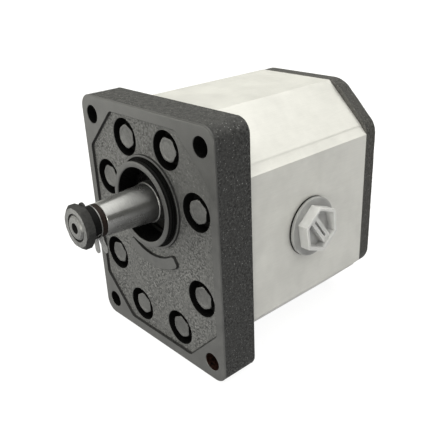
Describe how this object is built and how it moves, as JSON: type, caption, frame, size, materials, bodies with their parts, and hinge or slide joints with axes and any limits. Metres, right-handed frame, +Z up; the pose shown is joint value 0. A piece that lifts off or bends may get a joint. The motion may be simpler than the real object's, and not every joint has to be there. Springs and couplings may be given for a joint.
{
  "type": "hydraulic gear pump",
  "caption": "External gear pump with a rectangular mounting flange, round pilot, tapered keyed shaft with nut, extruded octagonal body, cast rear cover and plugged side ports.",
  "frame": {"origin": "centre of the pilot, on the shaft axis, in the plane of the flange's mounting face", "axes": "+Y along the shaft axis into the pump, +Z up from the driven shaft to the drive shaft, +X to the right as seen from the shaft's end; the shaft's free end points along -Y"},
  "size_m": [0.1354, 0.1903, 0.151],
  "materials": {
    "cast_flange": "machined and sand cast",
    "cast_cover": "sand cast",
    "body_aluminium": "satin extruded",
    "block_aluminium": "machined",
    "bush_bronze": "machined",
    "ground_steel": "ground",
    "bolt_steel": "matt zinc",
    "spring_steel": "oiled",
    "plated_steel": "satin plated",
    "black_steel": "black oxide",
    "black_rubber": "matt",
    "backup_plastic": "matt",
    "plug_plastic": "moulded matt"
  },
  "bodies": {
    "housing": {"front_flange": "cast_flange", "pump_body": "body_aluminium", "rear_cover": "cast_cover", "front_bearing_block": "block_aluminium", "rear_bearing_block": "block_aluminium", "drive_front_bush": "bush_bronze", "drive_rear_bush": "bush_bronze", "driven_front_bush": "bush_bronze", "driven_rear_bush": "bush_bronze", "front_body_seal": "black_rubber", "rear_body_seal": "black_rubber", "front_balance_seal": "black_rubber", "rear_balance_seal": "black_rubber", "front_backup_strip": "backup_plastic", "rear_backup_strip": "backup_plastic", "shaft_seal": "black_rubber", "seal_spring": "spring_steel", "seal_circlip": "spring_steel", "pilot_o_ring": "black_rubber", "body_bolts": "bolt_steel", "bolt_washers": "bolt_steel", "front_dowels": "ground_steel", "rear_dowels": "ground_steel", "outlet_plug": "plug_plastic", "outlet_gasket": "black_rubber", "inlet_plug": "plug_plastic", "inlet_gasket": "black_rubber"},
    "drive": {"drive_gear_shaft": "ground_steel", "shaft_key": "bolt_steel", "shaft_washer": "black_steel", "tab_washer": "plated_steel", "lock_washer": "black_steel", "shaft_nut": "black_steel"},
    "driven": {"driven_gear_shaft": "ground_steel"}
  },
  "joints": [
    {"name": "drive_spin", "type": "hinge", "parent": "housing", "child": "drive", "pos_m": [0, 0, 0], "axis": [0, 1, 0], "continuous": true},
    {"name": "driven_spin", "type": "hinge", "parent": "housing", "child": "driven", "pos_m": [0, 0, -0.042], "axis": [0, 1, 0], "continuous": true}
  ],
  "couplings": [
    {"joint": "driven_spin", "follows": "drive_spin", "ratio": -1}
  ]
}
